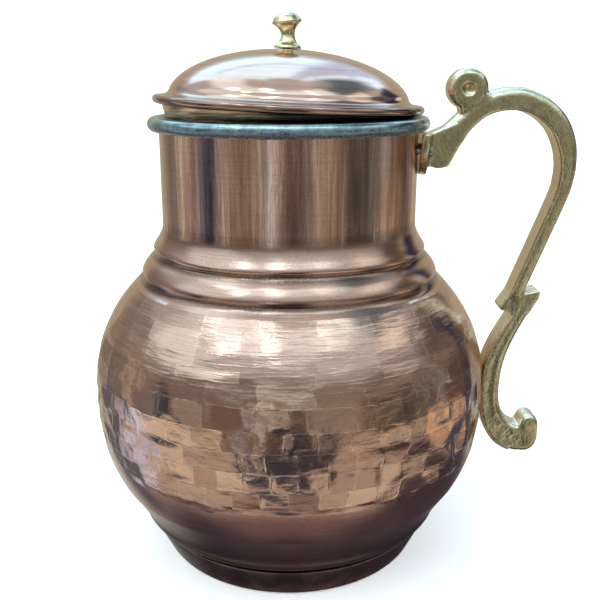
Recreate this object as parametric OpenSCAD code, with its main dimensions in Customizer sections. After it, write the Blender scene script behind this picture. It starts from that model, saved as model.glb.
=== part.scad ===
// Copper water jug with a cast brass handle and a loose domed lid.
// Millimetres, +Z up. The origin is on the jug's axis, in the plane of its flat bottom,
// and the handle points along +X.

/* [Body] */
// Thickness of the copper sheet
sheet = 1.2; // [1:0.1:1.3]
// Outer radius of the neck
neck_r = 52; // [51.9:0.1:52.1]
// Outer radius of the belly at its widest
belly_r = 82.5; // [82:0.1:82.6]
// Height of the centre of the rolled mouth
mouth_z = 181; // [180.8:0.1:181.2]
// Radius of the rolled mouth's section
bead_r = 2.8; // [2.6:0.1:2.9]

/* [Foot] */
// Radius of the flat bottom
bottom_r = 50; // [46:1:51]

/* [Handle] */
// Width of the casting, from side to side
handle_width = 12; // [10:0.5:13]
// Radius of the round thumb boss
boss_r = 8; // [7:0.25:8]
// Half the width of the pad on the neck
pad_half_width = 15; // [14:0.5:16]

/* [Lid] */
// Angle by which the lid sits askew, low on the handle's side
lid_tilt = 2.6; // [0:0.2:2.8]
// Height of the centre of the lid's flange
lid_z = 188.3; // [188.2:0.1:190]
// Outer radius of the lid's flange
flange_r = 54; // [53.5:0.25:54.5]
// Height of the dome above the flange
dome_h = 21; // [19:0.5:22]
// Angle by which the knob's cap leans away from the handle
knob_lean = 8; // [0:1:9]

/* [Hidden] */
$fn = 96;

fit_gap = 0.1;              // round every shank and wire, inside its hole or roll

// Neck and rolled mouth
neck_foot_z = 143;
bead_centre_r = neck_r - sheet + bead_r;
curl_end = -118;            // angle where the rolled edge meets the neck again

// Belly
belly_z = 72;               // height of its widest circle
belly_top_z = 118.9;
cone_top_z = 36;            // below this the wall is nearly a straight cone

// Handle's stem
boss_x = 70.9;
boss_z = 194.2;
boss_chamfer = 1.8;
dimple_r = 2.4;
dimple_depth = 1.4;
tail_tip = [105.6, 51.2];
tail_tip_r = 3.9;
tail_bend = [103.8, 43.5];
tail_bend_r = 5.7;

// Handle's pad, which leans outwards to clear the rolled mouth
pad_lean = 6;
pad_thick = 3.3;
pad_inner_r = neck_r + 0.4;
pad_low_z = 160.2;
pad_top_z = 177.4;
pad_pivot_z = 161.5;

// Rivets
neck_rivet_z = 170.5;
neck_rivet_angle = 11;      // to each side of the handle
neck_rivet_r = 1.5;
neck_head_r = 2.7;
belly_rivet_z = 68;
belly_rivet_r = 2;
belly_rivet_end_x = 91.3;   // flush with the outside of the stem
burr_thick = 0.9;
peen_thick = 0.7;

// Lid
lid_sheet = 0.8;
flange_wire_r = 0.75;
flange_roll_r = flange_wire_r + lid_sheet + fit_gap / 2;
flange_centre_r = flange_r - flange_roll_r;
dome_r = 48.5;              // half the width of the dome's ellipse
dome_foot_angle = 13;       // where the ellipse gives way to the flare

// Knob
knob_off_x = -1.4;
knob_waist_h = 5.4;
stud_r = 1.5;
washer_r = 4.5;
washer_thick = 0.8;
stud_peen_r = 2.5;

// --- Helpers -------------------------------------------------------------------------------

// Point on a smooth curve through four points, between the middle two
function curve_point(a, b, c, d, t) =
    0.5 * (2 * b + (c - a) * t + (2 * a - 5 * b + 4 * c - d) * t * t
           + (3 * b - a - 3 * c + d) * t * t * t);

// Smooth curve through a list of points, with `steps` pieces between neighbours
function smooth(points, steps) = let (last = len(points) - 1) [
    for (i = [0 : last - 1], k = [0 : steps - 1])
        curve_point(points[max(i - 1, 0)], points[i], points[i + 1], points[min(i + 2, last)], k / steps),
    points[last]];

// Unit vector square to the curve at point i
function side_of(points, i) =
    let (a = points[max(i - 1, 0)], b = points[min(i + 1, len(points) - 1)], run = [b.x - a.x, b.y - a.y])
    [-run.y, run.x] / norm(run);

// One edge of a bar that follows the curve; each point's third number is its half thickness
function bar_edge(points, side) =
    [for (i = [0 : len(points) - 1]) [points[i].x, points[i].y] + side_of(points, i) * points[i].z * side];

function backwards(list) = [for (i = [len(list) - 1 : -1 : 0]) list[i]];

// Inner face of a sheet, from the bottom up, whose outer face is a curve from the top down
function inner_face(points, thick) =
    backwards([for (i = [0 : len(points) - 1])
        let (inner = points[i] - side_of(points, i) * thick) [max(inner.x, 0), inner.y]]);

function arc(centre_r, centre_z, radius, from, to, steps) =
    [for (i = [0 : steps]) let (a = from + (to - from) * i / steps)
        [centre_r + radius * cos(a), centre_z + radius * sin(a)]];

// Plate in the XZ plane, `width` wide along Y
module side_plate(width, outline) {
    rotate([90, 0, 0]) linear_extrude(width, center = true) polygon(outline);
}

module side_disc(width, centre, r) {
    translate([centre.x, 0, centre.y]) rotate([90, 0, 0]) cylinder(r = r, h = width, center = true);
}

// Cylinder along +X from x = 0
module along_x(r, length) {
    rotate([0, 90, 0]) cylinder(r = r, h = length);
}

// Frame of the leaning pad, with its own axis on the neck's
module in_pad_frame() {
    translate([pad_inner_r, 0, pad_pivot_z]) rotate([0, pad_lean, 0])
        translate([-pad_inner_r, 0, -pad_pivot_z]) children();
}

// Both neck rivets' places: +X is the rivet's axis, and x = 0 is on the jug's axis
module at_neck_rivets() {
    in_pad_frame() for (side = [-1, 1])
        rotate([0, 0, side * neck_rivet_angle]) translate([0, 0, neck_rivet_z]) children();
}

module on_lid() {
    translate([0, 0, lid_z]) rotate([0, lid_tilt, 0]) children();
}

module on_knob() {
    on_lid() translate([knob_off_x, 0, dome_h]) children();
}

// --- Body ----------------------------------------------------------------------------------

// Radius of the belly at height z: the wall draws in from its widest circle by a power of the distance
function belly_wall(z) = z > belly_z
    ? belly_r - 4.7 * pow((z - belly_z) / 26, 2.44)
    : belly_r - 5.6 * pow((belly_z - z) / 32, 2.5);

// Neck's foot and two ribs, each over a groove
shoulder = smooth([[neck_r, neck_foot_z], [neck_r + 0.35, 139.4], [54.1, 135.6], [56.1, 132.3],
                   [55.7, 129.8], [58.9, 126.5], [61.1, 122.9], [60.8, 120.3]], 4);
belly = concat([for (z = [belly_top_z : -3 : belly_z + 1]) [belly_wall(z), z]],
               [for (z = [belly_z : -4 : cone_top_z]) [belly_wall(z), z]]);
// Slightly hollow cone, ridge, and the drop into the seam's groove
lower_wall = smooth([[belly_wall(cone_top_z), cone_top_z], [70.4, 29], [66.3, 22.2], [65.1, 18.8],
                     [63, 16.2], [60.2, 14.7]], 3);
lap = [[59.6, 13.1], [57.3, 8]];
pan_wall = [[61.3, 13.6], [60, 10.3], [58.2, 6.5]];
pan_corner_r = 3.9;
pan_face = concat(pan_wall, arc(52.6, pan_corner_r, pan_corner_r, -14, -90, 5), [[bottom_r, 0], [0, 0]]);

body_face = concat(shoulder, belly, [for (i = [1 : len(lower_wall) - 1]) lower_wall[i]], lap);

// One sheet: rolled outwards round the wire at the mouth, and lapped inside the pan at the foot
module body_shell() {
    color("#8a5a48") difference() {
        rotate_extrude() polygon(concat(
            arc(bead_centre_r, mouth_z, bead_r - sheet, curl_end, 180, 24),
            body_face,
            inner_face(body_face, sheet),
            arc(bead_centre_r, mouth_z, bead_r, 180, curl_end, 24)));
        at_neck_rivets() along_x(neck_rivet_r + fit_gap, 2 * neck_r);
        translate([0, 0, belly_rivet_z]) along_x(belly_rivet_r + fit_gap, 2 * belly_r);
    }
}

module rim_wire() {
    color("#6b4434") rotate_extrude() translate([bead_centre_r, mouth_z])
        circle(bead_r - sheet - fit_gap);
}

module base_pan() {
    color("#4a322c") rotate_extrude() polygon(concat(pan_face, inner_face(pan_face, sheet)));
}

// Fillet of solder in the corner between the body's lower edge and the pan
module seam_solder() {
    color("#b9b7b2") rotate_extrude() polygon([[55.9, 8.2], [57.1, 7.65], [56.75, 6.9], [55.75, 4.9],
                                              [54.9, 4.6], [54.4, 5.8]]);
}

// --- Handle --------------------------------------------------------------------------------

// Side view of the two bars, [x, z, half thickness] from the root to the tail
upper_bar = smooth([[60.5, 171.5, 5.4], [65, 175.6, 5], [69.6, 181, 4.1], [76.5, 187, 4.1], [84.5, 190, 4.4],
                    [93, 190.1, 4.6], [101, 186.8, 4.5], [107.6, 180.9, 4.4], [111.6, 173, 4.1],
                    [113, 165, 3.6], [112.6, 158, 3.3], [110.6, 150, 3.1], [99.7, 120.5, 3],
                    [95.9, 110, 3.1]], 4);
lower_bar = smooth([[99.6, 106, 3.6], [96.7, 99.3, 3.3], [93.8, 93.6, 3.5], [91, 87.5, 3.8],
                    [88.8, 81, 4.1], [87.5, 74, 4.3], [87.2, 64, 4.35], [88.8, 55, 4.9],
                    [93.6, 47.4, 5.8], [99.6, 44, 6.2]], 4);
tail_link = [[97, 40], [103, 40], [109.5, 43.6], [109.5, 51.2], [103, 54], [101, 50]];
root_block = [[55.6, 164.2], [60, 162.9], [64.2, 163.8], [66.6, 168.5], [69.5, 174], [66, 180.8],
              [61, 178.9], [57.6, 177.4], [56.2, 173]];
boss_web = [[68.3, 185], [68, 189], [79, 192.5], [82, 189]];
leaf = [[95, 113.5], [98.6, 110.6], [104.6, 112.2], [105.8, 111.2], [105.4, 108.8], [101.4, 101.5],
        [95, 103]];
barb = [[93.6, 112], [88.9, 104.9], [89.4, 103.2], [93.6, 102.9], [97, 100.5], [99, 108]];

// Round drum with chamfered rims and a shallow dimple in each side
module boss() {
    half = handle_width / 2;
    translate([boss_x, 0, boss_z]) rotate([90, 0, 0]) difference() {
        rotate_extrude() polygon([[0, -half], [boss_r - boss_chamfer, -half], [boss_r, boss_chamfer - half],
                                  [boss_r, half - boss_chamfer], [boss_r - boss_chamfer, half], [0, half]]);
        for (side = [0, 1]) mirror([0, 0, side]) translate([0, 0, half - dimple_depth])
            cylinder(r1 = dimple_r / 2, r2 = dimple_r, h = dimple_depth + 0.01);
    }
}

// Tongue-shaped plate, curved round the neck
module pad() {
    in_pad_frame() intersection() {
        translate([0, 0, pad_low_z]) difference() {
            cylinder(r = pad_inner_r + pad_thick, h = pad_top_z - pad_low_z);
            translate([0, 0, -1]) cylinder(r = pad_inner_r, h = pad_top_z - pad_low_z + 2);
        }
        union() {
            translate([0, 0, pad_low_z + pad_half_width]) along_x(pad_half_width, 2 * neck_r);
            translate([0, -pad_half_width, pad_low_z + pad_half_width])
                cube([2 * neck_r, 2 * pad_half_width, pad_top_z - pad_low_z]);
        }
    }
}

module handle() {
    color("#8d8256") difference() {
        union() {
            pad();
            side_plate(handle_width, root_block);
            side_plate(handle_width - 0.2, concat(bar_edge(upper_bar, 1), backwards(bar_edge(upper_bar, -1))));
            side_plate(handle_width, concat(bar_edge(lower_bar, 1), backwards(bar_edge(lower_bar, -1))));
            side_plate(handle_width - 0.6, boss_web);
            side_plate(handle_width - 0.6, leaf);
            side_plate(handle_width - 1, barb);
            boss();
            side_plate(handle_width - 0.8, tail_link);
            side_disc(handle_width - 0.4, tail_tip, tail_tip_r);
            side_disc(handle_width - 0.4, tail_bend, tail_bend_r);
        }
        at_neck_rivets() along_x(neck_rivet_r + fit_gap, 2 * neck_r);
        translate([0, 0, belly_rivet_z]) along_x(belly_rivet_r + fit_gap, 2 * belly_r);
    }
}

// --- Rivets and the washers under their peened ends ----------------------------------------

neck_head_x = pad_inner_r + pad_thick + fit_gap;
neck_burr_x = neck_r - sheet - 1.4 - burr_thick;     // the washers lean with the pad

module neck_rivets() {
    color("#9a6048") at_neck_rivets() union() {
        translate([neck_head_x, 0, 0]) rotate([0, 90, 0])
            cylinder(r1 = neck_head_r, r2 = neck_head_r * 0.55, h = 1.4);
        translate([neck_burr_x, 0, 0]) along_x(neck_rivet_r, neck_head_x - neck_burr_x + 0.5);
        translate([neck_burr_x - fit_gap - peen_thick, 0, 0]) along_x(neck_rivet_r + 0.6, peen_thick);
        translate([neck_burr_x - fit_gap - 0.01, 0, 0]) along_x(neck_rivet_r, 0.5);
    }
}

module neck_burrs() {
    color("#9a6048") at_neck_rivets() translate([neck_burr_x, 0, 0]) difference() {
        along_x(neck_head_r, burr_thick);
        translate([-1, 0, 0]) along_x(neck_rivet_r + fit_gap, burr_thick + 2);
    }
}

belly_burr_x = belly_r - sheet - 0.35 - burr_thick;

module belly_rivet() {
    peen_x = belly_burr_x - fit_gap - peen_thick;
    color("#9a6048") translate([0, 0, belly_rivet_z]) union() {
        translate([peen_x, 0, 0]) along_x(belly_rivet_r, belly_rivet_end_x - peen_x);
        translate([peen_x, 0, 0]) along_x(belly_rivet_r + 0.8, peen_thick);
    }
}

module belly_burr() {
    color("#9a6048") translate([belly_burr_x, 0, belly_rivet_z]) difference() {
        along_x(belly_rivet_r + 2, burr_thick);
        translate([-1, 0, 0]) along_x(belly_rivet_r + fit_gap, burr_thick + 2);
    }
}

// --- Lid, in its own frame: z = 0 is the centre of the flange's wire ------------------------

dome_face = concat(
    [for (a = [90 : -5.5 : dome_foot_angle]) [dome_r * cos(a), dome_h * sin(a)]],
    smooth([[47.45, 4], [48.3, 2.75], [49.7, 1.95], [flange_centre_r - 1, flange_roll_r + 0.02],
            [flange_centre_r, flange_roll_r]], 2));
skirt_face = smooth([[50.1, 0.5], [50.35, -0.9], [50.2, -2.1], [49.5, -4.6], [48.9, -7.4], [48.7, -10.5]], 2);
washer_top_h = -lid_sheet - 0.35;   // below the top of the dome

module lid_dome() {
    color("#a3735c") difference() {
        on_lid() rotate_extrude() polygon(concat(
            dome_face,
            arc(flange_centre_r, 0, flange_roll_r, 80, -170, 24),
            arc(flange_centre_r, 0, flange_roll_r - lid_sheet, -170, 80, 24),
            inner_face(dome_face, lid_sheet)));
        on_knob() translate([0, 0, -5]) cylinder(r = stud_r + fit_gap, h = 10);
    }
}

module lid_skirt() {
    color("#8a5a48") on_lid() rotate_extrude() polygon(concat(skirt_face, inner_face(skirt_face, lid_sheet)));
}

module lid_edge_wire() {
    color("#6b4434") on_lid() rotate_extrude() translate([flange_centre_r, 0])
        circle(flange_wire_r - fit_gap / 2);
}

module knob() {
    peen_h = washer_top_h - washer_thick - fit_gap;
    color("#c9b072") on_knob() union() {
        rotate_extrude() polygon([[0, peen_h - peen_thick], [stud_peen_r, peen_h - peen_thick],
                                  [stud_peen_r, peen_h], [stud_r, peen_h], [stud_r, 0.15], [5.4, 0.15],
                                  [5.3, 0.8], [3.9, 2.2], [2.95, 3.8], [2.6, 5], [2.2, 6], [0, 6]]);
        translate([0, 0, knob_waist_h]) rotate([0, -knob_lean, 0]) rotate_extrude()
            polygon([[0, -0.8], [2.2, -0.8], [2.75, 0.3], [3.1, 1.5], [4.3, 3.2], [5.75, 4.3], [5.9, 4.7],
                     [5.5, 5.4], [4.6, 6.8], [3.2, 7.9], [1.6, 8.5], [0, 8.7]]);
    }
}

module knob_washer() {
    color("#9a6048") on_knob() translate([0, 0, washer_top_h - washer_thick]) difference() {
        cylinder(r = washer_r, h = washer_thick);
        translate([0, 0, -1]) cylinder(r = stud_r + fit_gap, h = washer_thick + 2);
    }
}

body_shell();
rim_wire();
base_pan();
seam_solder();
handle();
neck_rivets();
neck_burrs();
belly_rivet();
belly_burr();
lid_dome();
lid_skirt();
lid_edge_wire();
knob();
knob_washer();
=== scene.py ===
"""Copper water jug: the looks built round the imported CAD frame.

Outlines and sizes are in millimetres, as in the CAD source, and become metres in each mesh.
The jug's axis is +Z through the origin, and the handle points along +X.
"""

import math

import bmesh
import bpy
import numpy as np
from mathutils import Matrix, Vector


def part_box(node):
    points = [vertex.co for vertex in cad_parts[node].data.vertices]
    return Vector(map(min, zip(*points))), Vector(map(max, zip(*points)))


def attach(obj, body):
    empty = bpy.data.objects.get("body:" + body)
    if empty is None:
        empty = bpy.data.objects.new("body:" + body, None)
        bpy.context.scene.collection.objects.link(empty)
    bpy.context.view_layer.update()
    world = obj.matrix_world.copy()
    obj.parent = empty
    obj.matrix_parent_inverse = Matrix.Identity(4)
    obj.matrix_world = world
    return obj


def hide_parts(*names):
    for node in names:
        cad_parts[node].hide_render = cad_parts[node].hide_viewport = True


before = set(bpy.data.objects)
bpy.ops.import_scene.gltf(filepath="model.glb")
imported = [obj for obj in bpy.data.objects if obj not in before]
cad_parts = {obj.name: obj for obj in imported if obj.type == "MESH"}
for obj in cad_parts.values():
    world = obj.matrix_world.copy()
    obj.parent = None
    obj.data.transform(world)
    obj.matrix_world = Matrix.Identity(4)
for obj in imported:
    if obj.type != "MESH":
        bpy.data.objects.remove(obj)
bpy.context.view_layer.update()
MM = 0.001


# --- Sizes: read from the frame where it shows them, otherwise the same as in the CAD ----------

def box_mm(node):
    low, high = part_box(node)
    return low / MM, high / MM


wire_low, wire_high = box_mm("rim_wire")
shell_high = box_mm("body_shell")[1]
SHEET = 1.2
MOUTH_Z = (wire_low.z + wire_high.z) / 2
BEAD_R = shell_high.z - MOUTH_Z
BEAD_CENTRE_R = wire_high.y - (wire_high.z - wire_low.z) / 2
NECK_R = BEAD_CENTRE_R - BEAD_R + SHEET
BELLY_R = shell_high.y
CURL_END = -118

LID_SHEET = 0.8
LID_Z = 188.3
LID_TILT = math.radians(2.6)
LID_FRAME = Matrix.Translation((0, 0, LID_Z * MM)) @ Matrix.Rotation(LID_TILT, 4, "Y")
DOME_H = 21


# --- Outlines ---------------------------------------------------------------------------------

def curve_point(a, b, c, d, t):
    """Point on a smooth curve through four points, between the middle two."""
    return 0.5 * (2 * b + (c - a) * t + (2 * a - 5 * b + 4 * c - d) * t**2 + (3 * b - a - 3 * c + d) * t**3)


def smooth(points, steps):
    """Smooth curve through the points, with that many pieces between neighbours."""
    p = np.array(points, float)
    last = len(p) - 1
    out = [curve_point(p[max(i - 1, 0)], p[i], p[i + 1], p[min(i + 2, last)], k / steps)
           for i in range(last) for k in range(steps)]
    return np.array(out + [p[last]])


def side_of(points):
    """Unit vector square to the curve at each point."""
    run = np.gradient(points[:, :2], axis=0)
    length = np.linalg.norm(run, axis=1, keepdims=True)
    return np.column_stack([-run[:, 1], run[:, 0]]) / length


def arc(centre, radius, start, end, steps):
    a = np.radians(np.linspace(start, end, steps + 1))
    return np.column_stack([centre[0] + radius * np.cos(a), centre[1] + radius * np.sin(a)])


def inner_face(points, thick):
    """Inner face of a sheet, from the bottom up, whose outer face runs from the top down."""
    inner = points - side_of(points) * thick
    inner[:, 0] = np.maximum(inner[:, 0], 0)
    return inner[::-1]


def belly_wall(z):
    above = BELLY_R - 4.7 * (np.maximum(z - 72, 0) / 26) ** 2.44
    below = BELLY_R - 5.6 * (np.maximum(72 - z, 0) / 32) ** 2.5
    return np.where(z > 72, above, below)


def body_outline():
    """The body's outer face from the mouth down to the lap inside the foot."""
    neck = [[NECK_R, z] for z in np.linspace(MOUTH_Z, 146, 16)]
    shoulder = smooth([[NECK_R, 143], [NECK_R + 0.35, 139.4], [54.1, 135.6], [56.1, 132.3], [55.7, 129.8],
                       [58.9, 126.5], [61.1, 122.9], [60.8, 120.3]], 6)
    z = np.arange(118.7, 36, -1.0)
    belly = np.column_stack([belly_wall(z), z])
    low = smooth([[float(belly_wall(36)), 36], [70.4, 29], [66.3, 22.2], [65.1, 18.8], [63, 16.2],
                  [60.2, 14.7]], 5)
    return np.vstack([neck, shoulder, belly, low, [[59.6, 13.1], [57.3, 8]]])


# --- Meshes -----------------------------------------------------------------------------------

def add_object(name, mesh, body, materials):
    piece = bpy.data.objects.new(name, mesh)
    bpy.context.scene.collection.objects.link(piece)
    for material in materials:
        mesh.materials.append(material)
    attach(piece, body)
    return piece


def shade(mesh):
    mesh.polygons.foreach_set("use_smooth", [True] * len(mesh.polygons))
    mesh.update()


def turned_mesh(name, outline, columns, shape=None, closed=True, slots=None):
    """Mesh turned round Z from an outline of [r, z] whose outer face runs from the top down.

    shape may move the grid of (r, z) points, and slots gives each row of faces its material number.
    """
    rows = len(outline)
    angle = np.linspace(0, 2 * np.pi, columns, endpoint=False)
    r = np.repeat(outline[:, :1], columns, axis=1)
    z = np.repeat(outline[:, 1:2], columns, axis=1)
    if shape:
        r, z = shape(r, z, angle)
    points = np.stack([r * np.cos(angle), r * np.sin(angle), z], axis=-1).reshape(-1, 3) * MM
    faces = []
    numbers = []
    for i in range(rows if closed else rows - 1):
        j = (i + 1) % rows
        if outline[i, 0] < 1e-6 and outline[j, 0] < 1e-6:
            continue
        for k in range(columns):
            n = (k + 1) % columns
            faces.append((i * columns + k, j * columns + k, j * columns + n, i * columns + n))
            numbers.append(slots[i] if slots else 0)
    mesh = bpy.data.meshes.new(name)
    mesh.from_pydata(points.tolist(), [], faces)
    mesh.polygons.foreach_set("material_index", numbers)
    tidy = bmesh.new()
    tidy.from_mesh(mesh)
    bmesh.ops.remove_doubles(tidy, verts=tidy.verts, dist=1e-6)
    bmesh.ops.dissolve_degenerate(tidy, edges=tidy.edges, dist=1e-7)
    tidy.to_mesh(mesh)
    tidy.free()
    shade(mesh)
    return mesh


# --- Hand-made unevenness ---------------------------------------------------------------------

ROUGH_TURN = 6.28


def waves(angle, z, count, turns, length, seed):
    """Slow random unevenness from -1 to 1: the mean of count waves, each up to turns times round."""
    rng = np.random.default_rng(seed)
    total = 0
    for _ in range(count):
        n = rng.integers(1, turns + 1)
        start = rng.uniform(0, ROUGH_TURN)
        total = total + np.sin(n * angle + start + z * rng.uniform(-1, 1) * ROUGH_TURN / length)
    return total / count


# Rows of hammer marks from the top down: [top, bottom, width of a mark, depth, tilt in degrees]
HAMMER_ROWS = [
    [118.5, 112.6, 21, 0.12, 1.5], [112.6, 106.2, 24, 0.14, 1.8], [106.2, 101.8, 22, 0.12, 1.8],
    [101.8, 98.0, 26, 0.10, 1.4], [98.0, 90.5, 19, 0.26, 1.8], [90.5, 82.0, 18, 0.30, 2.0],
    [82.0, 74.6, 11.5, 0.28, 3.3], [74.6, 67.0, 10.5, 0.28, 3.6], [67.0, 59.5, 10, 0.28, 3.6],
    [59.5, 52.0, 10.5, 0.24, 2.2],
]


def hammer_rows():
    """Each row's top, bottom, middle, radius, number of marks, first mark, depth and tilt."""
    for i, (top, bottom, width, depth, tilt) in enumerate(HAMMER_ROWS):
        middle = (top + bottom) / 2
        radius = float(belly_wall(middle))
        count = round(2 * math.pi * radius / width)
        yield top, bottom, middle, radius, count, 0.37 * i % 1, depth, tilt


def hammer(r, z, angle):
    """Flattens the belly under rows of hammer blows: each leaves a flat that only ever cuts inwards."""
    past_row = 1.6
    past_mark = 0.62
    rng = np.random.default_rng(11)
    out = r.copy()
    heights = z[:, 0]
    for top, bottom, middle, radius, count, start, depth, tilt in hammer_rows():
        slope = float(belly_wall(middle + 1) - belly_wall(middle - 1)) / 2
        width = 2 * math.pi * radius / count
        rows = np.where((heights < top + past_row) & (heights > bottom - past_row))[0]
        for k in range(count):
            a0 = (k + start + rng.uniform(-0.05, 0.05)) * 2 * math.pi / count
            z0 = middle + rng.uniform(-0.05, 0.05) * (top - bottom)
            lean = math.radians(rng.normal(0, tilt))
            turn = math.radians(rng.normal(0, tilt))
            sink = depth * rng.uniform(0.75, 1.35)
            da = (angle - a0 + np.pi) % (2 * np.pi) - np.pi
            cols = np.where(np.abs(da) * radius < past_mark * width)[0]
            normal = np.array([math.cos(turn), math.sin(turn), -(slope + math.tan(lean))])
            point_r = radius - slope * (middle - z0) - sink
            grid = np.ix_(rows, cols)
            d = da[cols][None, :]
            rise = z[grid] - z0
            plane = (point_r * normal[0] - normal[2] * rise) / (np.cos(d) * normal[0] + np.sin(d) * normal[1])
            out[grid] = np.minimum(out[grid], plane)
    return out


RIBS_Z = 130
BEATEN_TOP = 118
BEATEN_LOW = 51


def body_shape(outside_rows):
    """Moves the points of the body's outer face; the inside, the lap and the rolled mouth stay true."""
    def shape(r, z, angle):
        out = r.copy()
        face = slice(*outside_rows)
        fr, fz = r[face], z[face]
        rib = np.exp(-(((fz - RIBS_Z) / 9) ** 2))
        moved_z = fz + rib * 0.45 * waves(angle, fz, 5, 7, 60, 3)
        hammered = hammer(fr, fz, angle)
        soft = (hammered * 4 + np.roll(hammered, 1, 1) + np.roll(hammered, -1, 1)) / 6
        soft[1:-1] = (soft[1:-1] * 4 + soft[:-2] + soft[2:]) / 6
        soft = np.where((fz < BEATEN_TOP) & (fz > BEATEN_LOW), soft, fr)
        near_mouth = np.clip((MOUTH_Z - 3 - fz) / 6, 0, 1)
        near_foot = np.clip((fz - 15) / 5, 0, 1)
        uneven = 0.10 + 0.16 * np.clip((140 - fz) / 20, 0, 1)
        soft = soft - near_mouth * near_foot * uneven * (1 + waves(angle, fz, 7, 9, 45, 5)) / 2
        out[face] = np.minimum(soft, fr)
        new_z = z.copy()
        new_z[face] = moved_z
        return out, new_z
    return shape


# --- Materials --------------------------------------------------------------------------------

class Nodes:
    """Short names for the nodes that a material is made of."""

    def __init__(self, tree):
        self.tree = tree
        tree.nodes.clear()

    def put(self, socket, value):
        if isinstance(value, bpy.types.NodeSocket):
            self.tree.links.new(value, socket)
        elif value is not None:
            socket.default_value = value

    def node(self, kind, **settings):
        made = self.tree.nodes.new(kind)
        for name, value in settings.items():
            setattr(made, name, value)
        return made

    def math(self, operation, a, b=None, c=None):
        made = self.node("ShaderNodeMath", operation=operation)
        for socket, value in zip(made.inputs, (a, b, c)):
            self.put(socket, value)
        return made.outputs[0]

    def point(self):
        """The point in the piece's own frame, in metres."""
        return self.node("ShaderNodeTexCoord").outputs["Object"]

    def split(self, vector):
        """The three parts of a vector or a colour."""
        made = self.node("ShaderNodeSeparateXYZ")
        self.put(made.inputs[0], vector)
        return made.outputs[0], made.outputs[1], made.outputs[2]

    def join(self, x, y, z):
        made = self.node("ShaderNodeCombineXYZ")
        for socket, value in zip(made.inputs, (x, y, z)):
            self.put(socket, value)
        return made.outputs[0]

    def scaled(self, vector, scale):
        made = self.node("ShaderNodeVectorMath", operation="MULTIPLY")
        self.put(made.inputs[0], vector)
        made.inputs[1].default_value = scale
        return made.outputs[0]

    def noise(self, vector, scale, detail=3, rough=0.55):
        made = self.node("ShaderNodeTexNoise")
        self.put(made.inputs["Vector"], vector)
        made.inputs["Scale"].default_value = scale
        made.inputs["Detail"].default_value = detail
        made.inputs["Roughness"].default_value = rough
        return made.outputs[0]

    def cells(self, vector, scale):
        made = self.node("ShaderNodeTexVoronoi")
        self.put(made.inputs["Vector"], vector)
        made.inputs["Scale"].default_value = scale
        return made.outputs["Distance"]

    def ramp(self, value, *stops):
        """Numbers or colours between stops of (place, value)."""
        made = self.node("ShaderNodeValToRGB")
        ramp = made.color_ramp
        while len(ramp.elements) < len(stops):
            ramp.elements.new(0.5)
        for element, (where, what) in zip(ramp.elements, stops):
            element.position = where
            element.color = (*what, 1) if isinstance(what, tuple) else (what, what, what, 1)
        self.put(made.inputs[0], value)
        return made.outputs[0]

    def mix(self, share, a, b):
        made = self.node("ShaderNodeMix", data_type="RGBA")
        self.put(made.inputs["Factor"], share)
        for socket, value in ((made.inputs["A"], a), (made.inputs["B"], b)):
            self.put(socket, (*value, 1) if isinstance(value, tuple) else value)
        return made.outputs["Result"]

    def between(self, value, low, high, to_low=0.0, to_high=1.0):
        """Goes smoothly from to_low at low to to_high at high."""
        made = self.node("ShaderNodeMapRange", interpolation_type="SMOOTHSTEP")
        for socket, given in zip(made.inputs, (value, low, high, to_low, to_high)):
            self.put(socket, given)
        return made.outputs[0]

    def bump(self, height, distance, below=None):
        made = self.node("ShaderNodeBump")
        made.inputs["Distance"].default_value = distance
        made.inputs["Strength"].default_value = 1
        self.put(made.inputs["Height"], height)
        self.put(made.inputs["Normal"], below)
        return made.outputs[0]


def metal(name, build, anisotropic=0.0):
    """A material whose build(nodes) gives colour, roughness, normal and how metallic it is."""
    material = bpy.data.materials.new(name)
    material.use_nodes = True
    nodes = Nodes(material.node_tree)
    colour, rough, normal, metallic = build(nodes)
    shader = nodes.node("ShaderNodeBsdfPrincipled")
    nodes.put(shader.inputs["Base Color"], colour)
    nodes.put(shader.inputs["Roughness"], rough)
    nodes.put(shader.inputs["Normal"], normal)
    nodes.put(shader.inputs["Metallic"], metallic)
    if anisotropic:
        shader.inputs["Anisotropic"].default_value = anisotropic
        shader.inputs["Anisotropic Rotation"].default_value = 0.25
        tangent = nodes.node("ShaderNodeTangent", direction_type="RADIAL", axis="Z")
        nodes.put(shader.inputs["Tangent"], tangent.outputs[0])
    out = nodes.node("ShaderNodeOutputMaterial")
    nodes.put(out.inputs["Surface"], shader.outputs[0])
    return material


COPPER = (0.70, 0.43, 0.34)
COPPER_PINK = (0.76, 0.47, 0.385)
COPPER_BROWN = (0.50, 0.29, 0.22)
FOOT_SHADE = (0.16, 0.10, 0.09)


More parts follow.
